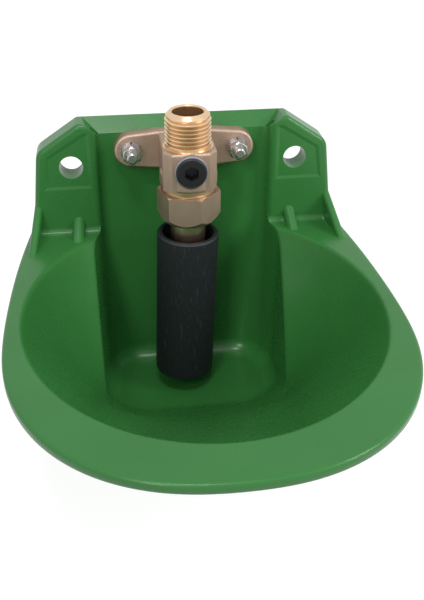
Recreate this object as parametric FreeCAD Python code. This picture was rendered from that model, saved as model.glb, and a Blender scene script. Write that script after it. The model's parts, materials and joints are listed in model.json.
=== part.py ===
"""Nose-operated drinking bowl for livestock: a moulded bowl that screws to a wall or a post, with a
brass tube valve on its back plate. The animal leans on the black sleeve, the ball-headed stem tilts,
and its raised edge lifts the valve plunger off its seat.

Frame: millimetres, +Z up. The origin is midway between the two wall screw holes, on the wall plane.
The wall plane is Y = 0 and the bowl stands out towards -Y. X runs along the wall.
"""
import math
import os

import FreeCAD
import Part

V = FreeCAD.Vector

# ---------------------------------------------------------------- driving dimensions, bowl
SHELL = 3.2                # moulded wall thickness
EAR_DEPTH = 12.0           # wall plane to the front of the two ears of the back plate
CHANNEL_DEPTH = 6.2        # wall plane to the recessed face that carries the valve
TROUGH_FOOT_DEPTH = 3.6    # the same face where it meets the trough floor
PLATE_TOP = 20.5           # height of the top edge of the back plate
TOP_HALF = 49.5            # half length of that top edge
SHOULDER_HALF = 69.0       # half width where the corner chamfer ends
SHOULDER_Z = 7.5
FOOT_HALF = 74.6           # half width of the plate at the rim
BAND_DROP = 6.4            # fall of the sloped top band over the channel
BAND_TOP_HALF = 47.0
MOUNT_SPACING = 107.0      # distance between the two wall screw holes
MOUNT_HOLE_R = 5.6
BOSS_WALL = 3.0            # plastic round each hole
RIM_Z = -34.0              # top face of the rim
LIP = 4.6                  # thickness of the rim flange
RIM_HALF = 82.7            # widest half width of the rim
RIM_WIDEST_Y = -98.0
RIM_FRONT_Y = -190.0
RIM_POWER = 2.3            # a little squarer than an ellipse
RIM_SIDE_STEPS = 4         # points that shape each side and the front
RIM_FRONT_STEPS = 12
MOUTH_HALF = 76.0          # bowl opening, an ellipse
MOUTH_DEPTH = 84.0
MOUTH_CENTRE_Y = -87.0
TROUGH_HALF = 45.5         # deep trough under the valve
TROUGH_REAR_HALF = 39.5    # its rear wall is narrower, so the sides splay towards the front
TROUGH_SPLAY_Y = -22.0     # depth at which the sides turn straight
TROUGH_FRONT_Y = -79.0
TROUGH_EDGE_Z = -100.0     # where the sloping bowl wall meets the trough
TROUGH_FLOOR_Z = -117.0
TROUGH_REAR_R = 5.0        # plan radius of its rear corners at the channel
TROUGH_REAR_FOOT_R = 18.0  # and at the floor
TROUGH_SPLAY_R = 14.0
TROUGH_FRONT_R = 24.0
TROUGH_DRAFT = 1.2         # how much each side closes in towards the floor
TROUGH_REAR_DRAFT = 4.5    # and the rear corners
TROUGH_FLOOR_R = 8.0       # fillet all round the floor
TROUGH_RAMP = 27.0         # how far the front of the trough slopes in
CHANNEL_STRAIGHT_Z = -42.0 # the channel face is upright above this, so that the valve seats flat
CHANNEL_LIP_R = 3.0        # rounding between the ear faces and the sides of the channel
BOTTOM_HALF = 43.6         # where the bowl wall ends, just inside the trough edge
BOTTOM_REAR_Y = -44.0
BOTTOM_FRONT_Y = -78.5
BOTTOM_POWER = 2.4
GUSSET_RISE = 16.0         # outer gussets between the ears and the rim
GUSSET_RUN = 24.0
GUSSET_THICK = 3.8
GUSSET_X = 72.2            # outer side of each gusset at its top
GUSSET_SPLAY = 2.0         # how far each leans out, and again along the rim
GUSSET_ROUND_R = 1.7
RIB_X = 52.5               # inner ribs between the ears and the rim
RIB_WIDTH = 6.0
RIB_RISE = 9.8
RIB_RUN = 11.5
RIB_SPLAY = 0.7
RIB_ROUND_R = 2.8
DISH_DEPTH = 0.3           # shallow dish in each ear round the wall screw hole
DISH_INSET = 4.0
DISH_START = 44.3
DISH_SLOPE = 1.5
DISH_FOOT_Z = -11.0
LEDGE_R = 3.0              # fillet between ears and rim
RIM_EDGE_R = 1.2
MOUTH_EDGE_R = 1.8
PLATE_EDGE_R = 2.0         # rounded front edge of the ears
PLATE_TOP_R = 3.0          # rounded corners in front view
PLATE_SHOULDER_R = 7.0
HEAD_CLEARANCE = 0.4       # round the screw heads behind the channel face

# ---------------------------------------------------------------- driving dimensions, valve
AXIS_Y = -27.7             # vertical axis of the valve
INLET_TOP = 31.0
THREAD_R = 20.955 / 2      # G 1/2 pipe thread, 14 turns to the inch
THREAD_PITCH = 1.814
THREAD_DEPTH = 1.162
THREAD_TURNS = 7
NECK_R = 10.6              # plain turned neck below the thread
THREAD_CREST = 0.12        # half width of each crest, in pitches
THREAD_LEAD = 0.35         # the first crests grow by this much for each millimetre of depth
INLET_LIP_R = 8.4          # the thread starts on a short cone from this radius
INLET_BORE_R = 7.1
INLET_BORE_END = 13.2
INLET_CHAMFER = 0.5
BLOCK_TOP = 15.2           # cast block
BLOCK_BOTTOM = -3.5
BLOCK_EDGE_R = 1.3
BLOCK_BEVEL_RUN = 4.8      # depth of the bevels beside the front face
BLOCK_HALF = 12.2
BLOCK_FRONT = 11.6         # axis to the front face
BLOCK_FACE_HALF = 8.5
SKIRT_R = 13.3             # round bead at the foot of the block
SKIRT_TOP = 3.6
SKIRT_EDGE_R = 1.4
COLLAR_R = 12.0            # machined collar above the union nut
COLLAR_BOTTOM = -6.0
LUG_SPACING = 50.0         # the two screws that hold the valve to the bowl
LUG_Z = 6.8
LUG_THICK = 6.0
LUG_END_R = 8.0
LUG_ROOT_HALF = 9.2        # half height of the lug plate at the block
LUG_EDGE_R = 1.2
SCREW_R = 2.5              # M5
SCREW_CLEARANCE = 0.25
SCREW_END = 3.4            # how far each screw stands out of its nut
SCREW_CHAMFER = 0.6
SCREW_HEAD_R = 4.6
SCREW_HEAD_H = 2.1
FLAT_WASHER = (5.0, 1.0)   # outer radius, thickness
SPRING_WASHER = (4.4, 1.2)
SPRING_WASHER_GAP = 0.9
NUT_FLATS = 8.0
NUT_HEIGHT = 4.0
NUT_CHAMFER = 0.2          # the crown circle is this much inside the flats
SPIGOT_R = 10.7            # threaded spigot under the collar, inside the union nut
SPIGOT_BORE_R = 9.15
SPIGOT_END = -15.0
CHAMBER_R = 7.0            # valve chamber
CHAMBER_TOP = 1.0
PASSAGE_R = 5.0            # passage between inlet bore and chamber
SEAT_TOP = -7.0
SEAT_THICK = 2.2
SEAT_STEP = 1.2            # corner rebate for the seat O-ring
ORIFICE_R = 4.6
UNION_FLATS = 26.0
UNION_TOP = -6.2
UNION_BOTTOM = -21.0
UNION_LIP = 2.0
UNION_NIP = 0.9            # small bevel on the upper corners
UNION_FOOT_INSET = 0.9     # larger bevel round the foot
UNION_FOOT_RISE = 4.2
UNION_TURN = 47.0          # degrees, how the hexagon stands
UNION_BORE_CLEARANCE = 0.05
RING_TOP = -15.3           # nylon pivot ring that carries the ball head
RING_R = 10.5
RING_MOUTH_R = 7.9
PIVOT_Z = -14.4            # centre of the ball head
BALL_R = 8.9
BALL_CLEARANCE = 0.08
BALL_FLAT = 2.5            # flat top above the centre of the ball
NECK_STEM_R = 7.2
STEM_R = 8.2
STEM_SHOULDER_Z = -20.3    # where the stem swells again below the ring
STEM_SHOULDER_RISE = 0.3   # a short cone, so that it passes under the pivot ring at full tilt
STEM_STEP_Z = -33.0
STEM_CHAMFER = 1.0
STEM_TAIL_R = 6.0
STEM_END_Z = -86.0
TUBE_LEAN = 2.0            # degrees that the tube hangs off upright, towards -X
STEM_PLAY = 0.15           # gap left to the nut at full tilt
TUBE_TILT = 3.4            # degrees of further tilt that opens the valve
SLEEVE_R = 14.8
SLEEVE_BORE_R = 12.5
SLEEVE_TOP = -28.4
SLEEVE_BOTTOM = -107.5
SLEEVE_EDGE = 0.8
RIB_TOP_Z = -42.0          # ribs inside the sleeve that grip the stem
RIB_BOTTOM_Z = -80.0
SLEEVE_RIBS = 4
SLEEVE_RIB_WIDTH = 3.0
PLATE_R = 8.2              # lift plate under the seat
PLATE_THICK = 1.4
LIFT_GAP = 0.1             # lift plate above the raised edge of the ball head
PLATE_HOLES = 6
PLATE_HOLE_R = 1.4
PLATE_HOLE_CIRCLE = 5.4
PLUNGER_R = 6.4
PLUNGER_THICK = 1.4
PLUNGER_STEM_R = 2.0
PLUNGER_PIN_R = 2.6        # spring guide on top of the plunger
PLUNGER_PIN_H = 2.2
SEAL_R = 6.6
SEAL_THICK = 1.35
SEAT_GAP = 0.05            # seal above the seat face
SPRING_R = 4.4
SPRING_WIRE_R = 0.45
SPRING_COILS = 3.0
SPRING_STEPS = 36          # points that shape its helix
RING_SECTION_R = 0.55      # seat O-ring
PLUG_Z = 7.1               # flow regulating screw in the front of the block
PLUG_R = 6.85              # its head
PLUG_HEAD_LENGTH = 4.2
PLUG_SHANK_R = 5.0
PLUG_CLEARANCE = 0.05
PLUG_FRONT = 14.6          # axis to its front face
PLUG_LENGTH = 7.8
PLUG_TIP_R = 3.85
PLUG_TIP_LENGTH = 3.0
PLUG_SOCKET = 6.0          # across flats
PLUG_SOCKET_DEPTH = 5.0
PLUG_TRAVEL = 3.0
PLUG_CHAMFER = 0.5
GROOVE_BACK = 3.3          # O-ring groove in the head: its middle behind the front face
GROOVE_WIDTH = 1.0
GROOVE_R = 5.9
PLUG_RING_SECTION_R = 0.44
BOSS_R = 7.9               # turned spot face round the screw
BOSS_FRONT = 12.0
GUARD_R = 7.5              # grey nylon ring round the screw
GUARD_FRONT = 13.6
GUARD_CHAMFER = 0.3

# ---------------------------------------------------------------- derived dimensions
LUG_FRONT_Y = -CHANNEL_DEPTH - LUG_THICK
BAND_FOOT_Z = PLATE_TOP - BAND_DROP
LIP_BOTTOM = RIM_Z - LIP
SEAT_BOTTOM = SEAT_TOP - SEAT_THICK
NUT_LIP_TOP = UNION_BOTTOM + UNION_LIP
FULL_TILT = math.radians(TUBE_LEAN + TUBE_TILT)
UNION_MOUTH_R = STEM_R + (PIVOT_Z - UNION_BOTTOM) * math.tan(FULL_TILT) + STEM_PLAY
HEAD_EDGE_Z = PIVOT_Z + BALL_FLAT + PLATE_R * math.sin(math.radians(TUBE_LEAN))
PLATE_BOTTOM = HEAD_EDGE_Z + LIFT_GAP
SEAL_BOTTOM = SEAT_TOP + SEAT_GAP
PLUNGER_BOTTOM = SEAL_BOTTOM + SEAL_THICK
PLUNGER_TOP = PLUNGER_BOTTOM + PLUNGER_THICK
EPS = 0.5                  # how far a cutter runs past the face it opens
TINY = 0.01                # two lengths closer than this are the same


# ---------------------------------------------------------------- shared shapes
def box(x0, x1, y0, y1, z0, z1):
    return Part.makeBox(x1 - x0, y1 - y0, z1 - z0, V(x0, y0, z0))


def upright(radius, z0, z1, x=0.0, y=AXIS_Y):
    return Part.makeCylinder(radius, z1 - z0, V(x, y, z0))


def across(radius, y0, y1, x=0.0, z=0.0):
    """Cylinder along Y."""
    return Part.makeCylinder(radius, y1 - y0, V(x, y0, z), V(0, 1, 0))


def face_of(points):
    return Part.Face(Part.makePolygon(points + points[:1]))


def turned(profile, x=0.0, y=AXIS_Y):
    """Solid of revolution round a vertical axis, from (radius, height) pairs."""
    face = face_of([V(x + r, y, z) for r, z in profile])
    return face.revolve(V(x, y, 0), V(0, 0, 1), 360)


def hexagon_prism(flats, centre, axis, length, turn=0.0):
    """Hexagonal prism; turn is in degrees from a corner on the first side direction."""
    axis = V(axis)
    side = V(0, 0, 1) if abs(axis.z) < 0.5 else V(1, 0, 0)
    other = axis.cross(side)
    corner = flats / math.sqrt(3.0)
    points = []
    for i in range(6):
        angle = math.radians(60 * i + turn)
        points.append(centre + side * (corner * math.cos(angle)) + other * (corner * math.sin(angle)))
    return face_of(points).extrude(axis * length)


def torus(major, minor, centre, axis):
    return Part.makeTorus(major, minor, centre, axis)


def mirrored(shape):
    return shape.mirror(V(0, 0, 0), V(1, 0, 0))


def both_sides(shape):
    return [shape, mirrored(shape)]


def edges_where(shape, test):
    return [e for e in shape.Edges if test(e.BoundBox, e)]


def fuse_all(first, others):
    return first.fuse(others).removeSplitter()


# ---------------------------------------------------------------- bowl
def super_oval(half_x, half_y, centre_y, power, z, steps=28):
    """Closed smooth outline of a superellipse, starting at its rear middle."""
    points = []
    for i in range(steps):
        t = 2 * math.pi * i / steps
        s, c = math.sin(t), math.cos(t)
        x = half_x * math.copysign(abs(s) ** (2 / power), s)
        y = half_y * math.copysign(abs(c) ** (2 / power), c)
        points.append(V(x, centre_y + y, z))
    curve = Part.BSplineCurve()
    curve.interpolate(Points=points, PeriodicFlag=True)
    return Part.Wire(curve.toShape())


def rim_outline(z):
    """Plan of the rim: straight along the wall, slightly bowed sides, squarish oval front."""
    bow = RIM_HALF - FOOT_HALF
    run = -RIM_WIDEST_Y
    radius = (run * run + bow * bow) / (2 * bow)
    side = []
    for i in range(RIM_SIDE_STEPS):
        ahead = run * (1 - i / RIM_SIDE_STEPS)
        side.append(V(RIM_HALF - radius + math.sqrt(radius * radius - ahead * ahead), ahead - run, z))
    front = []
    for i in range(RIM_FRONT_STEPS + 1):
        t = math.pi * i / RIM_FRONT_STEPS
        c, s = math.cos(t), math.sin(t)
        x = RIM_HALF * math.copysign(abs(c) ** (2 / RIM_POWER), c)
        front.append(V(x, RIM_WIDEST_Y + (RIM_FRONT_Y - RIM_WIDEST_Y) * abs(s) ** (2 / RIM_POWER), z))
    curve = Part.BSplineCurve()
    curve.interpolate(side + front + [V(-p.x, p.y, p.z) for p in reversed(side)])
    return Part.Wire([curve.toShape(), Part.makeLine(V(-FOOT_HALF, 0, z), V(FOOT_HALF, 0, z))])


def bowl_wall(offset):
    """Sloping bowl between the mouth ellipse and the trough edge, grown by offset."""
    foot_depth = (BOTTOM_REAR_Y - BOTTOM_FRONT_Y) / 2
    top = super_oval(MOUTH_HALF + offset, MOUTH_DEPTH + offset, MOUTH_CENTRE_Y, 2.0, RIM_Z)
    foot = super_oval(BOTTOM_HALF + offset, foot_depth + offset, BOTTOM_REAR_Y - foot_depth,
                      BOTTOM_POWER, TROUGH_EDGE_Z - offset)
    wall = Part.makeLoft([top, foot], True, True)
    rear = -CHANNEL_DEPTH + offset
    return wall.common(box(-RIM_HALF, RIM_HALF, RIM_FRONT_Y, rear, 2 * TROUGH_FLOOR_Z, PLATE_TOP))


def rounded_polygon(corners, z):
    """Closed plan outline with an arc at every corner, from (x, y, radius) triples."""
    points = [V(x, y, z) for x, y, r in corners]
    ends = []
    for i, (x, y, radius) in enumerate(corners):
        to_last = (points[i - 1] - points[i]).normalize()
        to_next = (points[(i + 1) % len(points)] - points[i]).normalize()
        half_angle = to_last.getAngle(to_next) / 2
        reach = radius / math.tan(half_angle)
        middle = (to_last + to_next).normalize() * (radius / math.sin(half_angle) - radius)
        ends.append((points[i] + to_last * reach, points[i] + middle, points[i] + to_next * reach))
    edges = []
    for i, (start, middle, end) in enumerate(ends):
        edges.append(Part.Arc(start, middle, end).toShape())
        edges.append(Part.makeLine(end, ends[(i + 1) % len(ends)][0]))
    return Part.Wire(edges)


def trough_plan(offset, share, ramp, z):
    """Plan of the trough at one level; share runs from 0 at the channel to 1 at the floor."""
    rear = CHANNEL_DEPTH + share * (TROUGH_FOOT_DEPTH - CHANNEL_DEPTH) - offset
    rear_half = TROUGH_REAR_HALF - share * TROUGH_REAR_DRAFT + offset
    half = TROUGH_HALF - share * TROUGH_DRAFT + offset
    rear_r = TROUGH_REAR_R + share * (TROUGH_REAR_FOOT_R - TROUGH_REAR_R)
    right = [(rear_half, -rear, rear_r + offset), (half, TROUGH_SPLAY_Y, TROUGH_SPLAY_R + offset),
             (half, TROUGH_FRONT_Y - offset + ramp, TROUGH_FRONT_R + offset)]
    return rounded_polygon(right + [(-x, y, r) for x, y, r in reversed(right)], z)


def trough(offset, top_z):
    """Deep trough under the valve and the channel above it, grown by offset."""
    fall = (TROUGH_EDGE_Z - CHANNEL_STRAIGHT_Z) / (TROUGH_FLOOR_Z - CHANNEL_STRAIGHT_Z)
    plans = [trough_plan(offset, 0.0, 0.0, CHANNEL_STRAIGHT_Z), trough_plan(offset, fall, 0.0, TROUGH_EDGE_Z),
             trough_plan(offset, 1.0, TROUGH_RAMP, TROUGH_FLOOR_Z - offset)]
    pit = Part.makeLoft(plans, True, True)
    floor_edges = edges_where(pit, lambda b, e: b.ZMax < TROUGH_FLOOR_Z - offset + TINY)
    pit = pit.makeFillet(TROUGH_FLOOR_R + offset, floor_edges)
    channel = Part.Face(plans[0]).extrude(V(0, 0, top_z - CHANNEL_STRAIGHT_Z))
    return pit.fuse(channel).removeSplitter()


def channel_lips():
    """Cutters that round the ear faces over into the sides of the channel."""
    run = V(TROUGH_HALF - TROUGH_REAR_HALF, TROUGH_SPLAY_Y + CHANNEL_DEPTH, 0)
    z = RIM_Z + LEDGE_R
    share = (EAR_DEPTH - CHANNEL_DEPTH) / -run.y
    corner = V(TROUGH_REAR_HALF, -CHANNEL_DEPTH, z) + run * share
    inward = (run * -1).normalize()
    outward = V(1, 0, 0)
    half_angle = inward.getAngle(outward) / 2
    reach = CHANNEL_LIP_R / math.tan(half_angle)
    middle = (inward + outward).normalize() * (CHANNEL_LIP_R / math.sin(half_angle) - CHANNEL_LIP_R)
    on_ear = corner + outward * reach
    on_side = corner + inward * reach
    arc = Part.Arc(on_ear, corner + middle, on_side).toShape()
    outside = Part.makePolygon([on_side, on_side - V(EPS, 0, 0), corner - V(EPS, EPS, 0),
                                on_ear - V(0, EPS, 0), on_ear])
    profile = Part.Face(Part.Wire([arc] + outside.Edges))
    return both_sides(profile.extrude(V(0, 0, 2 * PLATE_TOP - z)))


def trough_shell():
    """Outside of the trough; above the rim only the part behind the ear faces stands."""
    clear = box(-RIM_HALF, RIM_HALF, RIM_FRONT_Y, -EAR_DEPTH, RIM_Z, 2 * PLATE_TOP)
    return trough(SHELL, BAND_FOOT_Z).cut(clear)


def plate_outline(inset, y, foot_z):
    """Front view of the back plate above foot_z."""
    top = PLATE_TOP - inset
    side = math.hypot(SHOULDER_HALF - TOP_HALF, PLATE_TOP - SHOULDER_Z)
    slide = inset * (side - (PLATE_TOP - SHOULDER_Z)) / (SHOULDER_HALF - TOP_HALF)
    spread = (FOOT_HALF - SHOULDER_HALF) * (SHOULDER_Z - foot_z) / (SHOULDER_Z - LIP_BOTTOM)
    points = [V(TOP_HALF - slide, y, top), V(SHOULDER_HALF - inset, y, SHOULDER_Z - slide),
              V(SHOULDER_HALF + spread - inset, y, foot_z)]
    return points + [V(-p.x, p.y, p.z) for p in reversed(points)]


def back_plate():
    """Hollow plate: ears, perimeter wall back to the wall plane and a thick bar under the top band."""
    outer = face_of(plate_outline(0, -EAR_DEPTH, LIP_BOTTOM)).extrude(V(0, EAR_DEPTH, 0))
    tops = edges_where(outer, lambda b, e: b.XLength < TINY and b.ZLength < TINY
                       and b.ZMin > PLATE_TOP - TINY)
    outer = outer.makeFillet(PLATE_TOP_R, tops)
    shoulders = edges_where(outer, lambda b, e: b.XLength < TINY and b.ZLength < TINY
                            and abs(b.ZMin - SHOULDER_Z) < TINY)
    outer = outer.makeFillet(PLATE_SHOULDER_R, shoulders)
    front = edges_where(outer, lambda b, e: b.YMax < -EAR_DEPTH + TINY and b.ZMax > LIP_BOTTOM + TINY)
    outer = outer.makeFillet(PLATE_EDGE_R, front)
    inner = face_of(plate_outline(SHELL, -EAR_DEPTH + SHELL, LIP_BOTTOM + SHELL)).extrude(V(0, EAR_DEPTH, 0))
    bar = box(-TOP_HALF, TOP_HALF, -CHANNEL_DEPTH, 0, BAND_FOOT_Z - SHELL, PLATE_TOP - SHELL / 2)
    return outer.cut(inner).fuse(bar)


def ear_dishes():
    """Shallow dish with sloping sides in each ear, round the wall screw hole."""
    wires = []
    for grow, y in ((0, -EAR_DEPTH), (DISH_SLOPE, DISH_DEPTH - EAR_DEPTH)):
        outer = plate_outline(DISH_INSET + grow, y, DISH_FOOT_Z + grow)[:3]
        inner = [V(DISH_START + grow, y, outer[2].z), V(DISH_START + grow, y, outer[0].z)]
        wires.append(Part.makePolygon(outer + inner + outer[:1]))
    return both_sides(Part.makeLoft(wires, True, True))


def top_band():
    """Wedge cut off the top of the channel, with sloping ends."""
    front = -3 * EAR_DEPTH
    slope = face_of([V(-BAND_TOP_HALF, 0, PLATE_TOP), V(-BAND_TOP_HALF, -CHANNEL_DEPTH, BAND_FOOT_Z),
                     V(-BAND_TOP_HALF, front, BAND_FOOT_Z), V(-BAND_TOP_HALF, front, 2 * PLATE_TOP),
                     V(-BAND_TOP_HALF, 0, 2 * PLATE_TOP)]).extrude(V(2 * BAND_TOP_HALF, 0, 0))
    ends = face_of([V(-TROUGH_REAR_HALF, front, BAND_FOOT_Z), V(TROUGH_REAR_HALF, front, BAND_FOOT_Z),
                    V(BAND_TOP_HALF, front, PLATE_TOP), V(BAND_TOP_HALF, front, 2 * PLATE_TOP),
                    V(-BAND_TOP_HALF, front, 2 * PLATE_TOP), V(-BAND_TOP_HALF, front, PLATE_TOP)])
    return slope.common(ends.extrude(V(0, -front, 0)))


def web(x_top, x_root, x_foot, run, rise, thick, round_r):
    """Web between an ear face and the rim, on both sides; its sloping front is rounded."""
    rear = -EAR_DEPTH + PLATE_EDGE_R
    foot = RIM_Z - EPS
    outer = face_of([V(x_root, rear, foot), V(x_foot, -EAR_DEPTH - run, foot), V(x_top, rear, RIM_Z + rise)])
    solid = outer.extrude(V(-thick, 0, 0))
    slanted = edges_where(solid, lambda b, e: b.ZLength > rise / 2 and b.YLength > run / 2)
    return both_sides(solid.makeFillet(round_r, slanted))


def gussets():
    """Outer gussets, flush with the sides of the plate and splayed along the rim."""
    return web(GUSSET_X, GUSSET_X + GUSSET_SPLAY, GUSSET_X + 2 * GUSSET_SPLAY, GUSSET_RUN, GUSSET_RISE,
               GUSSET_THICK, GUSSET_ROUND_R)


def inner_ribs():
    side = RIB_X + RIB_WIDTH / 2
    return web(side - RIB_SPLAY, side, side + RIB_SPLAY, RIB_RUN, RIB_RISE, RIB_WIDTH, RIB_ROUND_R)


def ledge_cove():
    """Hollow fillet between the ear faces and the rim."""
    y = -EAR_DEPTH
    z = RIM_Z
    bend = LEDGE_R * (1 - math.sqrt(0.5))
    arc = Part.Arc(V(0, y, z + LEDGE_R), V(0, y - bend, z + bend), V(0, y - LEDGE_R, z)).toShape()
    foot = Part.makePolygon([V(0, y - LEDGE_R, z), V(0, y - LEDGE_R, z - EPS), V(0, y + EPS, z - EPS),
                             V(0, y + EPS, z + LEDGE_R), V(0, y, z + LEDGE_R)])
    profile = Part.Face(Part.Wire([arc] + foot.Edges))
    return profile.extrude(V(FOOT_HALF - SHELL, 0, 0)).fuse(profile.extrude(V(SHELL - FOOT_HALF, 0, 0)))


def drinking_bowl():
    flange = Part.Face(rim_outline(LIP_BOTTOM)).extrude(V(0, 0, LIP))
    rim_edges = edges_where(flange, lambda b, e: b.ZLength < TINY and b.YMin < -EAR_DEPTH)
    flange = flange.makeFillet(RIM_EDGE_R, rim_edges)
    solid = flange.fuse([bowl_wall(SHELL), trough_shell(), back_plate(), ledge_cove()])
    solid = solid.fuse(gussets() + inner_ribs())
    solid = solid.cut([bowl_wall(0), trough(0, 2 * PLATE_TOP), top_band()] + channel_lips() + ear_dishes())
    mount_bosses = []
    holes = []
    for sign in (-1, 1):
        x = sign * MOUNT_SPACING / 2
        mount_bosses.append(across(MOUNT_HOLE_R + BOSS_WALL, -EAR_DEPTH + SHELL / 2, 0, x))
        holes.append(across(MOUNT_HOLE_R, -EAR_DEPTH - EPS, EPS, x))
        x = sign * LUG_SPACING / 2
        holes.append(across(SCREW_R + SCREW_CLEARANCE, -CHANNEL_DEPTH - EPS, EPS, x, LUG_Z))
        holes.append(across(SCREW_HEAD_R + HEAD_CLEARANCE, -CHANNEL_DEPTH + SHELL, EPS, x, LUG_Z))
    solid = solid.fuse(mount_bosses).cut(holes).removeSplitter()
    mouth = edges_where(solid, lambda b, e: b.ZLength < TINY and abs(b.ZMin - RIM_Z) < TINY
                        and b.XLength > MOUTH_HALF and b.YMin < -MOUTH_DEPTH and b.YMin > RIM_FRONT_Y + LIP)
    return solid.makeFillet(MOUTH_EDGE_R, mouth)


# ---------------------------------------------------------------- valve body
def inlet_profile():
    """Half section of the inlet: crests and roots of the pipe thread, then the plain neck."""
    root = THREAD_R - THREAD_DEPTH
    crest = THREAD_PITCH * THREAD_CREST
    profile = [(0, BLOCK_TOP - EPS), (0, INLET_TOP), (INLET_LIP_R, INLET_TOP)]
    z = INLET_TOP - (root - INLET_LIP_R)
    for i in range(THREAD_TURNS):
        mid = z - THREAD_PITCH / 2
        radius = min(THREAD_R, root + (INLET_TOP - mid) * THREAD_LEAD)
        profile += [(root, z), (radius, mid + crest), (radius, mid - crest)]
        z -= THREAD_PITCH
    return profile + [(root, z), (NECK_R, z - THREAD_DEPTH / 2), (NECK_R, BLOCK_TOP - EPS)]


def valve_block():
    """Cast block with bevelled front corners and a flat top with rounded edges."""
    front = AXIS_Y - BLOCK_FRONT
    rear = LUG_FRONT_Y + EPS
    right = [V(BLOCK_FACE_HALF, front, BLOCK_BOTTOM), V(BLOCK_HALF, front + BLOCK_BEVEL_RUN, BLOCK_BOTTOM),
             V(BLOCK_HALF, rear, BLOCK_BOTTOM)]
    left = [V(-p.x, p.y, p.z) for p in reversed(right)]
    block = face_of(right + left).extrude(V(0, 0, BLOCK_TOP - BLOCK_BOTTOM))
    top = edges_where(block, lambda b, e: b.ZMin > BLOCK_TOP - TINY and b.YMin < rear - TINY)
    return block.makeFillet(BLOCK_EDGE_R, top)


def lug_plate():
    """Plate with two round ears that seats on the channel face."""
    y = LUG_FRONT_Y
    half = LUG_SPACING / 2
    root = BLOCK_HALF
    lift = LUG_Z
    body = face_of([V(-root, y, lift + LUG_ROOT_HALF), V(root, y, lift + LUG_ROOT_HALF),
                    V(half, y, lift + LUG_END_R), V(half, y, lift - LUG_END_R),
                    V(root, y, lift - LUG_ROOT_HALF), V(-root, y, lift - LUG_ROOT_HALF),
                    V(-half, y, lift - LUG_END_R), V(-half, y, lift + LUG_END_R)])
    plate = body.extrude(V(0, LUG_THICK, 0))
    ends = [across(LUG_END_R, y, y + LUG_THICK, s * half, LUG_Z) for s in (-1, 1)]
    plate = fuse_all(plate, ends)
    outline = edges_where(plate, lambda b, e: b.YMax < y + TINY and abs(b.Center.x) > root)
    return plate.makeFillet(LUG_EDGE_R, outline)


def valve_body():
    skirt = upright(SKIRT_R, BLOCK_BOTTOM, SKIRT_TOP)
    skirt = skirt.makeFillet(SKIRT_EDGE_R, edges_where(skirt, lambda b, e: b.ZLength < TINY))
    collar = upright(COLLAR_R, COLLAR_BOTTOM, BLOCK_BOTTOM + EPS)
    spigot = upright(SPIGOT_R, SPIGOT_END, COLLAR_BOTTOM)
    boss = across(BOSS_R, AXIS_Y - BOSS_FRONT, AXIS_Y, 0, PLUG_Z)
    solid = valve_block().fuse([turned(inlet_profile()), lug_plate(), skirt, collar, spigot, boss])
    plug_mouth = AXIS_Y - PLUG_FRONT - EPS
    head_end = AXIS_Y - PLUG_FRONT + PLUG_HEAD_LENGTH + PLUG_TRAVEL + 2 * PLUG_CLEARANCE
    shank_end = AXIS_Y - PLUG_FRONT + PLUG_LENGTH + PLUG_TRAVEL + EPS
    bores = [upright(INLET_BORE_R, INLET_BORE_END, INLET_TOP + EPS),
             upright(PASSAGE_R, CHAMBER_TOP - EPS, INLET_BORE_END + EPS),
             upright(CHAMBER_R, SEAT_TOP - EPS, CHAMBER_TOP),
             upright(SPIGOT_BORE_R, SPIGOT_END - EPS, SEAT_TOP),
             across(BOSS_R, plug_mouth, AXIS_Y - BOSS_FRONT, 0, PLUG_Z),
             across(PLUG_R + PLUG_CLEARANCE, plug_mouth, head_end, 0, PLUG_Z),
             across(PLUG_SHANK_R + PLUG_CLEARANCE, plug_mouth, shank_end, 0, PLUG_Z)]
    for sign in (-1, 1):
        bores.append(across(SCREW_R + SCREW_CLEARANCE, LUG_FRONT_Y - EPS, -CHANNEL_DEPTH + EPS,
                            sign * LUG_SPACING / 2, LUG_Z))
    solid = solid.cut(bores).removeSplitter()
    mouth = edges_where(solid, lambda b, e: b.ZMin > INLET_TOP - TINY and b.XLength < 2 * INLET_BORE_R + TINY)
    return solid.makeChamfer(INLET_CHAMFER, mouth)


def union_nut():
    length = UNION_TOP - UNION_BOTTOM
    corner = UNION_FLATS / math.sqrt(3.0)
    prism = hexagon_prism(UNION_FLATS, V(0, AXIS_Y, UNION_BOTTOM), V(0, 0, 1), length, UNION_TURN)
    bevels = turned([(0, UNION_BOTTOM), (UNION_FLATS / 2 - UNION_FOOT_INSET, UNION_BOTTOM),
                     (corner + EPS, UNION_BOTTOM + UNION_FOOT_RISE), (corner + EPS, UNION_TOP - UNION_NIP),
                     (corner - UNION_NIP, UNION_TOP), (0, UNION_TOP)])
    bore = upright(SPIGOT_R + UNION_BORE_CLEARANCE, NUT_LIP_TOP, UNION_TOP + EPS)
    mouth = upright(UNION_MOUTH_R, UNION_BOTTOM - EPS, NUT_LIP_TOP + EPS)
    return prism.common(bevels).cut([bore, mouth])


def seat_ring():
    outer = SPIGOT_BORE_R
    return turned([(ORIFICE_R, SEAT_BOTTOM), (outer, SEAT_BOTTOM), (outer, SEAT_TOP - SEAT_STEP),
                   (outer - SEAT_STEP, SEAT_TOP - SEAT_STEP), (outer - SEAT_STEP, SEAT_TOP),
                   (ORIFICE_R, SEAT_TOP)])


def seat_o_ring():
    major = SPIGOT_BORE_R - SEAT_STEP / 2
    return torus(major, RING_SECTION_R, V(0, AXIS_Y, SEAT_TOP - SEAT_STEP / 2), V(0, 0, 1))


# ---------------------------------------------------------------- tube: ball-headed stem and sleeve
def leaned(shape):
    """Turn a part of the tube from upright to the lean it hangs at."""
    shape = shape.copy()
    shape.rotate(V(0, AXIS_Y, PIVOT_Z), V(0, 1, 0), TUBE_LEAN)
    return shape


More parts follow.
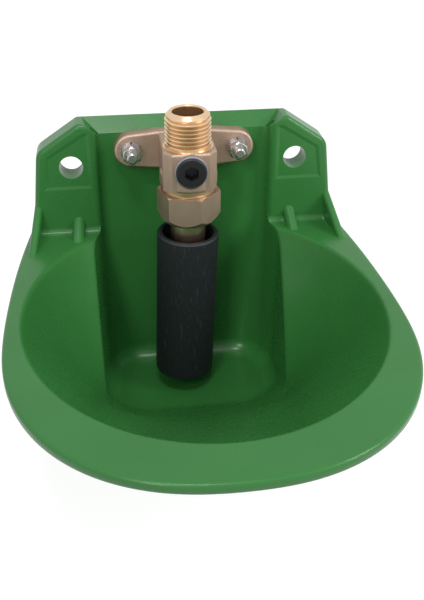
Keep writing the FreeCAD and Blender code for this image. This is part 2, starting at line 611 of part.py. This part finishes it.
def pivot_ring():
    seat = Part.makeSphere(BALL_R + BALL_CLEARANCE, V(0, AXIS_Y, PIVOT_Z))
    ring = turned([(RING_MOUTH_R, NUT_LIP_TOP + SEAT_GAP), (RING_R, NUT_LIP_TOP + SEAT_GAP),
                   (RING_R, RING_TOP), (RING_MOUTH_R, RING_TOP)])
    return ring.cut(seat)


def valve_stem():
    ball = Part.makeSphere(BALL_R, V(0, AXIS_Y, PIVOT_Z))
    ball = ball.cut(upright(2 * BALL_R, PIVOT_Z + BALL_FLAT, PIVOT_Z + 2 * BALL_R))
    shaft = turned([(0, PIVOT_Z), (NECK_STEM_R, PIVOT_Z), (NECK_STEM_R, STEM_SHOULDER_Z + STEM_SHOULDER_RISE),
                    (STEM_R, STEM_SHOULDER_Z), (STEM_R, STEM_STEP_Z),
                    (STEM_TAIL_R, STEM_STEP_Z - (STEM_R - STEM_TAIL_R)),
                    (STEM_TAIL_R, STEM_END_Z + STEM_CHAMFER), (STEM_TAIL_R - STEM_CHAMFER, STEM_END_Z),
                    (0, STEM_END_Z)])
    return leaned(ball.fuse(shaft).removeSplitter())


def rubber_sleeve():
    bevel = SLEEVE_EDGE
    tube = turned([(SLEEVE_BORE_R, SLEEVE_BOTTOM), (SLEEVE_R - bevel, SLEEVE_BOTTOM),
                   (SLEEVE_R, SLEEVE_BOTTOM + bevel), (SLEEVE_R, SLEEVE_TOP - bevel),
                   (SLEEVE_R - bevel, SLEEVE_TOP), (SLEEVE_BORE_R, SLEEVE_TOP)])
    ribs = []
    for i in range(SLEEVE_RIBS):
        rib = box(STEM_TAIL_R - EPS, SLEEVE_BORE_R + EPS, AXIS_Y - SLEEVE_RIB_WIDTH / 2,
                  AXIS_Y + SLEEVE_RIB_WIDTH / 2, RIB_BOTTOM_Z, RIB_TOP_Z)
        rib.rotate(V(0, AXIS_Y, 0), V(0, 0, 1), 45 + 360 * i / SLEEVE_RIBS)
        ribs.append(rib)
    grip = upright(STEM_TAIL_R, RIB_BOTTOM_Z - EPS, RIB_TOP_Z + EPS)
    return leaned(tube.fuse(ribs).cut(grip).removeSplitter())


# ---------------------------------------------------------------- plunger group
def lift_plate():
    plate = upright(PLATE_R, PLATE_BOTTOM, PLATE_BOTTOM + PLATE_THICK)
    holes = [upright(PLUNGER_STEM_R, PLATE_BOTTOM - EPS, PLATE_BOTTOM + PLATE_THICK + EPS)]
    for i in range(PLATE_HOLES):
        angle = 2 * math.pi * i / PLATE_HOLES
        holes.append(upright(PLATE_HOLE_R, PLATE_BOTTOM - EPS, PLATE_BOTTOM + PLATE_THICK + EPS,
                             PLATE_HOLE_CIRCLE * math.cos(angle),
                             AXIS_Y + PLATE_HOLE_CIRCLE * math.sin(angle)))
    return plate.cut(holes)


def valve_plunger():
    return turned([(0, PLATE_BOTTOM), (PLUNGER_STEM_R, PLATE_BOTTOM), (PLUNGER_STEM_R, PLUNGER_BOTTOM),
                   (PLUNGER_R, PLUNGER_BOTTOM), (PLUNGER_R, PLUNGER_TOP), (PLUNGER_PIN_R, PLUNGER_TOP),
                   (PLUNGER_PIN_R, PLUNGER_TOP + PLUNGER_PIN_H), (0, PLUNGER_TOP + PLUNGER_PIN_H)])


def plunger_seal():
    return turned([(PLUNGER_STEM_R, SEAL_BOTTOM), (SEAL_R, SEAL_BOTTOM), (SEAL_R, PLUNGER_BOTTOM),
                   (PLUNGER_STEM_R, PLUNGER_BOTTOM)])


def return_spring():
    height = CHAMBER_TOP - PLUNGER_TOP - 2 * SPRING_WIRE_R
    start = PLUNGER_TOP + SPRING_WIRE_R
    points = []
    for i in range(SPRING_STEPS + 1):
        angle = 2 * math.pi * SPRING_COILS * i / SPRING_STEPS
        points.append(V(SPRING_R * math.cos(angle), AXIS_Y + SPRING_R * math.sin(angle),
                        start + height * i / SPRING_STEPS))
    helix = Part.BSplineCurve()
    helix.interpolate(points)
    along = V(0, 2 * math.pi * SPRING_R, height / SPRING_COILS)
    circle = Part.Wire(Part.makeCircle(SPRING_WIRE_R, points[0], along))
    return Part.Wire(helix.toShape()).makePipeShell([circle], True, True)


# ---------------------------------------------------------------- regulating screw
def regulating_screw():
    front = AXIS_Y - PLUG_FRONT
    end = front + PLUG_LENGTH
    head = across(PLUG_R, front, front + PLUG_HEAD_LENGTH, 0, PLUG_Z)
    shank = across(PLUG_SHANK_R, front, end, 0, PLUG_Z)
    tip = across(PLUG_TIP_R, front, end + PLUG_TIP_LENGTH, 0, PLUG_Z)
    middle = front + GROOVE_BACK
    groove = across(2 * PLUG_R, middle - GROOVE_WIDTH / 2, middle + GROOVE_WIDTH / 2, 0, PLUG_Z)
    groove = groove.cut(across(GROOVE_R, middle - GROOVE_WIDTH, middle + GROOVE_WIDTH, 0, PLUG_Z))
    socket = hexagon_prism(PLUG_SOCKET, V(0, front - EPS, PLUG_Z), V(0, 1, 0), PLUG_SOCKET_DEPTH + EPS)
    screw = head.fuse([shank, tip]).cut([groove, socket]).removeSplitter()
    rim = edges_where(screw, lambda b, e: b.YMax < front + TINY and b.XLength > 2 * PLUG_SHANK_R)
    return screw.makeChamfer(PLUG_CHAMFER, rim)


def screw_o_ring():
    middle = AXIS_Y - PLUG_FRONT + GROOVE_BACK
    return torus(PLUG_R - PLUG_RING_SECTION_R, PLUG_RING_SECTION_R, V(0, middle, PLUG_Z), V(0, 1, 0))


def screw_guard_ring():
    front = AXIS_Y - GUARD_FRONT
    ring = across(GUARD_R, front, AXIS_Y - BOSS_FRONT, 0, PLUG_Z)
    ring = ring.cut(across(PLUG_R + 2 * PLUG_CLEARANCE, front - EPS, AXIS_Y, 0, PLUG_Z))
    rim = edges_where(ring, lambda b, e: b.YMax < front + TINY and b.XLength > 2 * GUARD_R - TINY)
    return ring.makeChamfer(GUARD_CHAMFER, rim)


# ---------------------------------------------------------------- screws that hold the valve
def at_lugs(maker):
    return Part.makeCompound([maker(sign * LUG_SPACING / 2) for sign in (-1, 1)])


def washer(outer, inner, y, thick, x):
    return across(outer, y - thick, y, x, LUG_Z).cut(across(inner, y - thick - EPS, y + EPS, x, LUG_Z))


def stack_y(level):
    """Front faces of the pieces on a lug: 0 lug, 1 flat washer, 2 spring washer, 3 nut."""
    heights = [0, FLAT_WASHER[1], SPRING_WASHER[1], NUT_HEIGHT]
    return LUG_FRONT_Y - sum(heights[:level + 1])


def lug_screw(x):
    rear = -CHANNEL_DEPTH + SHELL
    head = across(SCREW_HEAD_R, rear, rear + SCREW_HEAD_H, x, LUG_Z)
    shank = across(SCREW_R, stack_y(3) - SCREW_END, rear + EPS, x, LUG_Z)
    screw = head.fuse(shank).removeSplitter()
    tip = edges_where(screw, lambda b, e: b.YMax < stack_y(3) - SCREW_END + TINY)
    return screw.makeChamfer(SCREW_CHAMFER, tip)


def lug_flat_washer(x):
    return washer(FLAT_WASHER[0], SCREW_R + SCREW_CLEARANCE, stack_y(0), FLAT_WASHER[1], x)


def lug_spring_washer(x):
    ring = washer(SPRING_WASHER[0], SCREW_R + SCREW_CLEARANCE, stack_y(1), SPRING_WASHER[1], x)
    slot = box(x - SPRING_WASHER_GAP / 2, x + SPRING_WASHER_GAP / 2, stack_y(2) - EPS, stack_y(1) + EPS,
               LUG_Z, LUG_Z + 2 * SPRING_WASHER[0])
    return ring.cut(slot)


def lug_nut(x):
    front = stack_y(3)
    nut = hexagon_prism(NUT_FLATS, V(x, front, LUG_Z), V(0, 1, 0), NUT_HEIGHT)
    crown = NUT_FLATS / 2 - NUT_CHAMFER
    cone = Part.makeCone(crown, crown + 2 * NUT_HEIGHT, 2 * NUT_HEIGHT, V(x, front, LUG_Z), V(0, 1, 0))
    hole = across(SCREW_R, front - EPS, stack_y(2) + EPS, x, LUG_Z)
    return nut.common(cone).cut(hole)


NODES = {
    "drinking_bowl": drinking_bowl,
    "valve_body": valve_body,
    "union_nut": union_nut,
    "seat_ring": seat_ring,
    "seat_o_ring": seat_o_ring,
    "pivot_ring": pivot_ring,
    "valve_stem": valve_stem,
    "rubber_sleeve": rubber_sleeve,
    "lift_plate": lift_plate,
    "valve_plunger": valve_plunger,
    "plunger_seal": plunger_seal,
    "return_spring": return_spring,
    "regulating_screw": regulating_screw,
    "screw_o_ring": screw_o_ring,
    "screw_guard_ring": screw_guard_ring,
    "lug_screws": lambda: at_lugs(lug_screw),
    "lug_flat_washers": lambda: at_lugs(lug_flat_washer),
    "lug_spring_washers": lambda: at_lugs(lug_spring_washer),
    "lug_nuts": lambda: at_lugs(lug_nut),
}

os.makedirs("parts", exist_ok=True)
for name, make in NODES.items():
    shape = make()
    shape.exportStep("parts/" + name + ".step")
    solids = len(shape.Solids)
    print(name, "solids", solids, "volume", round(shape.Volume, 1), "valid", shape.isValid())
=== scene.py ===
import json
import math

import bpy
from mathutils import Matrix, Vector


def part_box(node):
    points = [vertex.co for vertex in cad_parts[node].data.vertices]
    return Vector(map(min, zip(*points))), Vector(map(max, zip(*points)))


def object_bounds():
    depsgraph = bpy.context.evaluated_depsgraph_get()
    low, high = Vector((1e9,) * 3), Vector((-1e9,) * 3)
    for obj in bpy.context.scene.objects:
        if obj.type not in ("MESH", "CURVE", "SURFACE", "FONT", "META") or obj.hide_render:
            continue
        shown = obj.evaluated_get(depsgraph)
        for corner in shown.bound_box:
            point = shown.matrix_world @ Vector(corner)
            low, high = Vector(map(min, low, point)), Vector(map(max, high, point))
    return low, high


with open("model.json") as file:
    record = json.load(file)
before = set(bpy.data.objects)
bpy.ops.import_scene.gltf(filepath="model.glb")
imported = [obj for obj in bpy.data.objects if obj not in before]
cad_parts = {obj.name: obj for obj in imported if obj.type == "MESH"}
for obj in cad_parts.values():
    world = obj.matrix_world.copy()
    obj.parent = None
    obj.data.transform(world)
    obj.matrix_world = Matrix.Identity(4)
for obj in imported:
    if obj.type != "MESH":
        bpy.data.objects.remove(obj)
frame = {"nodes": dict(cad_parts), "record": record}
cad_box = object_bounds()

# Looks of a nose-operated drinking bowl: a moulded green bowl on a hollow back plate, with a brass
# tube valve. Everything is in metres in the frame of the CAD model: Z up, wall at Y = 0, bowl to -Y.
MM = 0.001
nodes = frame["nodes"]
nut_low, nut_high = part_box("union_nut")
AXIS_Y = (nut_low.y + nut_high.y) / 2      # upright axis of the valve
FLOOR_Z = cad_box[0].z
BLOCK_TOP = 15.2 * MM                      # top of the cast block, under the turned neck
NECK_EDGE_R = (11.2 * MM, 11.6 * MM)       # the turned neck ends between these radii
COLLAR_TOP = (-3.2 * MM, -3.6 * MM)        # the turned collar starts between these heights
NUT_BORE_EDGE_R = (12.3 * MM, 12.6 * MM)   # the turned end of the union nut, likewise
SOFT_EDGE_R = 2.5 * MM                     # rounding of the edges below the rim, as the light shows it
RIM_Z = -34 * MM                           # top face of the rim
PLASTIC_IOR = 1.5
CAST_SKIN = ("#A68E80", "#BEA592")
BRIGHT_BRASS = ("#D8B692", "#EACCA8")

# ---------------------------------------------------------------- camera, light and floor
CAMERA_PLACE = (-0.03735, -0.37235, 0.15224)
CAMERA_HEADING = 8.04      # degrees to the right of straight at the wall
CAMERA_DOWN = 32.39        # degrees below level
CAMERA_ROLL = 0.37
CAMERA_LENS = 48.81        # millimetres
CAMERA_FILM = 36           # millimetres
# Name, place, point aimed at, width and height in metres, and watts of each lamp.
LAMPS = [
    ("left_lamp", (-0.42, -0.85, 0.55), (0, -0.06, -0.04), (0.2, 0.4), 3.2),
    ("right_lamp", (0.82, -0.50, 0.50), (0, -0.06, -0.04), (0.28, 0.45), 5.0),
    ("top_lamp", (-0.08, -0.45, 0.85), (0, -0.06, -0.06), (0.22, 0.06), 2.2),
]
WORLD_LIGHT = 0.46         # strength of the studio as it lights the object
FLOOR_GLOW = 0.78          # and of the floor as the camera and the metal see it


def set_camera():
    data = bpy.data.cameras.new("camera")
    data.lens = CAMERA_LENS
    data.sensor_width = CAMERA_FILM
    data.clip_start = 0.01
    data.clip_end = 20
    camera = bpy.data.objects.new("camera", data)
    bpy.context.scene.collection.objects.link(camera)
    turn = Matrix.Rotation(math.radians(-CAMERA_HEADING), 4, "Z")
    turn = turn @ Matrix.Rotation(math.radians(90 - CAMERA_DOWN), 4, "X")
    turn = turn @ Matrix.Rotation(math.radians(CAMERA_ROLL), 4, "Z")
    camera.matrix_world = Matrix.Translation(CAMERA_PLACE) @ turn
    bpy.context.scene.camera = camera


def soft_lamp(name, place, aim, size, watts):
    data = bpy.data.lights.new(name, "AREA")
    data.shape = "RECTANGLE"
    data.size, data.size_y = size
    data.energy = watts
    lamp = bpy.data.objects.new(name, data)
    bpy.context.scene.collection.objects.link(lamp)
    way = Vector(aim) - Vector(place)
    lamp.matrix_world = Matrix.Translation(place) @ way.to_track_quat("-Z", "Y").to_matrix().to_4x4()


# ---------------------------------------------------------------- node and colour helpers
def linear(hex_colour):
    """Linear RGBA of an sRGB hex colour."""
    channels = [int(hex_colour[i:i + 2], 16) / 255 for i in (1, 3, 5)]
    return [c / 12.92 if c <= 0.04045 else ((c + 0.055) / 1.055) ** 2.4 for c in channels] + [1.0]


def add(tree, kind, inputs=None, **settings):
    """Add a node: settings are its own properties, inputs are values or outputs of other nodes."""
    node = tree.nodes.new(kind)
    for key, value in settings.items():
        setattr(node, key, value)
    for socket, value in (inputs or {}).items():
        if isinstance(value, bpy.types.NodeSocket):
            tree.links.new(value, node.inputs[socket])
        else:
            node.inputs[socket].default_value = value
    return node


def per(size_mm):
    """Pattern scale for features of this size in millimetres."""
    return 1 / (size_mm * MM)


def new_finish(name):
    """A material with its surface shader and the object coordinates."""
    material = bpy.data.materials.new(name)
    material.use_nodes = True
    tree = material.node_tree
    surface = tree.nodes["Principled BSDF"]
    coords = add(tree, "ShaderNodeTexCoord")
    return material, tree, surface, coords


def background_rays(tree):
    """1 for rays from the camera, from a mirror-like surface or through glass, otherwise 0."""
    path = add(tree, "ShaderNodeLightPath")
    both = add(tree, "ShaderNodeMath", {0: path.outputs["Is Camera Ray"],
                                        1: path.outputs["Is Glossy Ray"]}, operation="MAXIMUM")
    return add(tree, "ShaderNodeMath", {0: both.outputs[0], 1: path.outputs["Is Transmission Ray"]},
               operation="MAXIMUM").outputs[0]


def set_world():
    world = bpy.data.worlds.new("studio")
    bpy.context.scene.world = world
    world.use_nodes = True
    tree = world.node_tree
    back = tree.nodes["Background"]
    strength = add(tree, "ShaderNodeMapRange", {"Value": background_rays(tree), "To Min": WORLD_LIGHT,
                                                "To Max": 1.0})
    tree.links.new(strength.outputs[0], back.inputs["Strength"])
    back.inputs["Color"].default_value = linear("#FFFFFF")


def lay_floor():
    bpy.ops.object.select_all(action="DESELECT")
    bpy.ops.mesh.primitive_plane_add(size=12, location=(0, 0, FLOOR_Z))
    floor = bpy.context.object
    floor.name = "floor"
    material = bpy.data.materials.new("matt_white_floor")
    material.use_nodes = True
    tree = material.node_tree
    tree.nodes.remove(tree.nodes["Principled BSDF"])
    paint = add(tree, "ShaderNodeBsdfDiffuse", {"Color": linear("#A8A8A8")})
    glow = add(tree, "ShaderNodeMapRange", {"Value": background_rays(tree), "To Min": 0.0,
                                            "To Max": FLOOR_GLOW})
    light = add(tree, "ShaderNodeEmission", {"Color": linear("#FFFFFF"), "Strength": glow.outputs[0]})
    both = add(tree, "ShaderNodeAddShader", {0: paint.outputs[0], 1: light.outputs[0]})
    tree.links.new(both.outputs[0], tree.nodes["Material Output"].inputs["Surface"])
    floor.data.materials.append(material)


# ---------------------------------------------------------------- finishes
def mixed(tree, share, first, second):
    """Colour between two hex colours or colour outputs."""
    ends = [linear(c) if isinstance(c, str) else c for c in (first, second)]
    return add(tree, "ShaderNodeMix", {0: share, 6: ends[0], 7: ends[1]}, data_type="RGBA").outputs[2]


def moulded_polyethylene():
    """Injection-moulded green polyethylene: a waxy satin gloss, slightly uneven where it sank in the
    mould, with a fine grain that breaks up the highlights and soft edges where its faces meet."""
    material, tree, surface, coords = new_finish("moulded_green_polyethylene")
    spot = coords.outputs["Object"]
    cloud = add(tree, "ShaderNodeTexNoise", {"Vector": spot, "Scale": per(38), "Detail": 2.0})
    tree.links.new(mixed(tree, cloud.outputs["Fac"], "#306E35", "#387D3B"), surface.inputs["Base Color"])
    grain = add(tree, "ShaderNodeTexNoise", {"Vector": spot, "Scale": per(1.3), "Detail": 3.0})
    sink = add(tree, "ShaderNodeTexNoise", {"Vector": spot, "Scale": per(16), "Detail": 1.0})
    rough = add(tree, "ShaderNodeMapRange", {"Value": grain.outputs["Fac"], "To Min": 0.22, "To Max": 0.31})
    tree.links.new(rough.outputs[0], surface.inputs["Roughness"])
    soft_edges = add(tree, "ShaderNodeBevel", {"Radius": SOFT_EDGE_R}, samples=8)
    level = add(tree, "ShaderNodeSeparateXYZ", {0: spot}).outputs["Z"]
    inside = add(tree, "ShaderNodeMapRange", {"Value": level, "From Min": RIM_Z + 2 * MM,
                                              "From Max": RIM_Z - 2 * MM})
    plain = add(tree, "ShaderNodeNewGeometry")
    faces = add(tree, "ShaderNodeMix", {0: inside.outputs[0], 4: plain.outputs["Normal"],
                                        5: soft_edges.outputs[0]}, data_type="VECTOR")
    swell = add(tree, "ShaderNodeBump", {"Height": sink.outputs["Fac"], "Strength": 0.25,
                                         "Distance": 0.3 * MM, "Normal": faces.outputs[1]})
    skin = add(tree, "ShaderNodeBump", {"Height": grain.outputs["Fac"], "Strength": 0.08,
                                        "Distance": 0.05 * MM, "Normal": swell.outputs[0]})
    tree.links.new(skin.outputs[0], surface.inputs["Normal"])
    surface.inputs["IOR"].default_value = 1.46
    surface.inputs["Specular IOR Level"].default_value = 0.36
    return material


def around_axis(tree, spot):
    """Distance from the upright axis of the valve, and height, both in metres."""
    centred = add(tree, "ShaderNodeMapping", {"Vector": spot, "Location": (0, -AXIS_Y, 0)})
    parts = add(tree, "ShaderNodeSeparateXYZ", {0: centred.outputs[0]})
    flat = add(tree, "ShaderNodeCombineXYZ", {"X": parts.outputs["X"], "Y": parts.outputs["Y"]})
    radius = add(tree, "ShaderNodeVectorMath", {0: flat.outputs[0]}, operation="LENGTH")
    return radius.outputs["Value"], parts.outputs["Z"]


def brass_surface(tree, surface, spot, turned, dull, bright):
    """Brass that is cast or forged where turned is 0 and machined where it is 1. Skin: brown, grainy
    and dull. Machined: yellow and bright, with fine tool rings."""
    patch = add(tree, "ShaderNodeTexNoise", {"Vector": spot, "Scale": per(5), "Detail": 4.0})
    skin = mixed(tree, patch.outputs["Fac"], dull[0], dull[1])
    metal = mixed(tree, patch.outputs["Fac"], bright[0], bright[1])
    colour = add(tree, "ShaderNodeMix", {0: turned, 6: skin, 7: metal}, data_type="RGBA")
    tree.links.new(colour.outputs[2], surface.inputs["Base Color"])
    grit = add(tree, "ShaderNodeTexNoise", {"Vector": spot, "Scale": per(0.7), "Detail": 3.0})
    rings = add(tree, "ShaderNodeTexWave", {"Vector": spot, "Scale": per(0.45) / 20, "Distortion": 0.4},
                bands_direction="Z")
    grit_rough = add(tree, "ShaderNodeMapRange", {"Value": grit.outputs["Fac"], "To Min": 0.42,
                                                  "To Max": 0.62})
    rough = add(tree, "ShaderNodeMix", {0: turned, 2: grit_rough.outputs[0], 3: 0.3})
    tree.links.new(rough.outputs[0], surface.inputs["Roughness"])
    height = add(tree, "ShaderNodeMix", {0: turned, 2: grit.outputs["Fac"], 3: rings.outputs["Fac"]})
    depth = add(tree, "ShaderNodeMapRange", {"Value": turned, "To Min": 0.5, "To Max": 0.12})
    bump = add(tree, "ShaderNodeBump", {"Height": height.outputs[0], "Strength": depth.outputs[0],
                                        "Distance": 0.12 * MM})
    tree.links.new(bump.outputs[0], surface.inputs["Normal"])
    surface.inputs["Metallic"].default_value = 1.0


def cast_valve_brass():
    """Sand-cast brass, blasted and left with its brown skin, with the thread, the neck under it and the
    collar turned bright."""
    material, tree, surface, coords = new_finish("cast_brass_with_turned_ends")
    radius, height = around_axis(tree, coords.outputs["Object"])
    top = add(tree, "ShaderNodeMapRange", {"Value": height, "From Min": BLOCK_TOP - 0.6 * MM,
                                           "From Max": BLOCK_TOP - 0.2 * MM})
    inside = add(tree, "ShaderNodeMapRange", {"Value": radius, "From Min": NECK_EDGE_R[1],
                                              "From Max": NECK_EDGE_R[0]})
    neck = add(tree, "ShaderNodeMath", {0: top.outputs[0], 1: inside.outputs[0]}, operation="MULTIPLY")
    foot = add(tree, "ShaderNodeMapRange", {"Value": height, "From Min": COLLAR_TOP[0],
                                            "From Max": COLLAR_TOP[1]})
    turned = add(tree, "ShaderNodeMath", {0: neck.outputs[0], 1: foot.outputs[0]}, operation="MAXIMUM")
    brass_surface(tree, surface, coords.outputs["Object"], turned.outputs[0], CAST_SKIN, BRIGHT_BRASS)
    return material


def forged_nut_brass():
    """Hot-forged brass hexagon: brown dull flats, with the bore and the ring round it turned bright."""
    material, tree, surface, coords = new_finish("forged_brass_with_turned_bore")
    radius, height = around_axis(tree, coords.outputs["Object"])
    turned = add(tree, "ShaderNodeMapRange", {"Value": radius, "From Min": NUT_BORE_EDGE_R[1],
                                              "From Max": NUT_BORE_EDGE_R[0]})
    brass_surface(tree, surface, coords.outputs["Object"], turned.outputs[0], CAST_SKIN, BRIGHT_BRASS)
    return material


def turned_brass():
    """Brass turned from bar: bright, yellow, with faint rings from the tool."""
    material, tree, surface, coords = new_finish("turned_brass")
    brass_surface(tree, surface, coords.outputs["Object"], 1.0, CAST_SKIN, ("#D2B698", "#E2C8AA"))
    return material


def scuffed_rubber():
    """Extruded black rubber: matt, with a fine dusty grain and thin scuffs from handling."""
    material, tree, surface, coords = new_finish("extruded_black_rubber")
    spot = coords.outputs["Object"]
    grain = add(tree, "ShaderNodeTexNoise", {"Vector": spot, "Scale": per(0.9), "Detail": 4.0})
    dust = add(tree, "ShaderNodeMapRange", {"Value": grain.outputs["Fac"], "From Min": 0.48,
                                            "From Max": 0.80})
    slant = add(tree, "ShaderNodeMapping", {"Vector": spot, "Rotation": (0, math.radians(35), 0),
                                            "Scale": (1, 1, 0.12)})
    streaks = add(tree, "ShaderNodeTexNoise", {"Vector": slant.outputs[0], "Scale": per(0.8), "Detail": 2.0})
    scuff = add(tree, "ShaderNodeMapRange", {"Value": streaks.outputs["Fac"], "From Min": 0.62,
                                             "From Max": 0.72})
    dusty = mixed(tree, dust.outputs[0], "#0A0D13", "#1E2229")
    tree.links.new(mixed(tree, scuff.outputs[0], dusty, "#2B2E33"), surface.inputs["Base Color"])
    surface.inputs["Roughness"].default_value = 0.6
    bump = add(tree, "ShaderNodeBump", {"Height": grain.outputs["Fac"], "Strength": 0.4,
                                        "Distance": 0.08 * MM})
    tree.links.new(bump.outputs[0], surface.inputs["Normal"])
    return material


def plain_finish(name, colours, roughness, grain_mm, grain_depth, metallic=0.0, cloud_mm=9):
    """Colour and roughness that vary a little, over a grain of a stated size."""
    material, tree, surface, coords = new_finish(name)
    spot = coords.outputs["Object"]
    cloud = add(tree, "ShaderNodeTexNoise", {"Vector": spot, "Scale": per(cloud_mm), "Detail": 3.0})
    tree.links.new(mixed(tree, cloud.outputs["Fac"], *colours), surface.inputs["Base Color"])
    grain = add(tree, "ShaderNodeTexNoise", {"Vector": spot, "Scale": per(grain_mm), "Detail": 3.0})
    rough = add(tree, "ShaderNodeMapRange", {"Value": grain.outputs["Fac"], "To Min": roughness[0],
                                             "To Max": roughness[1]})
    tree.links.new(rough.outputs[0], surface.inputs["Roughness"])
    bump = add(tree, "ShaderNodeBump", {"Height": grain.outputs["Fac"], "Strength": 0.4,
                                        "Distance": grain_depth * MM})
    tree.links.new(bump.outputs[0], surface.inputs["Normal"])
    surface.inputs["Metallic"].default_value = metallic
    if metallic == 0.0:
        surface.inputs["IOR"].default_value = PLASTIC_IOR
    return material


# What each plain finish gives the eye: nylon is a softly shining plastic, seal rubber is matt and
# black, acetal is smooth and milky, zinc plate is bright, warm grey and slightly mottled, and spring
# wire is drawn smooth and grey.
finishes = {
    "bowl_plastic": moulded_polyethylene(),
    "cast_brass": cast_valve_brass(),
    "nut_brass": forged_nut_brass(),
    "turned_brass": turned_brass(),
    "black_rubber": scuffed_rubber(),
    "black_nylon": plain_finish("moulded_black_nylon", ("#050609", "#0A0B0F"), (0.42, 0.52), 0.8, 0.03),
    "grey_nylon": plain_finish("moulded_grey_nylon", ("#85858F", "#94949E"), (0.36, 0.48), 0.8, 0.03),
    "white_acetal": plain_finish("turned_white_acetal", ("#DAD9D2", "#E4E3DC"), (0.34, 0.44), 0.6, 0.02),
    "seal_rubber": plain_finish("nitrile_seal_rubber", ("#161616", "#1E1E1E"), (0.5, 0.62), 0.5, 0.03),
    "spring_steel": plain_finish("drawn_spring_steel", ("#9C9C9E", "#B0B0B2"), (0.24, 0.34), 0.4, 0.02, 1.0),
    "zinc_steel": plain_finish("bright_zinc_plate", ("#A8A4A4", "#C8C5C4"), (0.20, 0.34), 0.5, 0.03, 1.0,
                               cloud_mm=2.0),
}
for part in frame["record"]["subparts"]:
    node = nodes[part["node"]]
    node.data.materials.clear()
    node.data.materials.append(finishes[part["material_slot"]])

set_camera()
set_world()
lay_floor()
for lamp in LAMPS:
    soft_lamp(*lamp)
scene = bpy.context.scene
scene.view_settings.view_transform = "Standard"
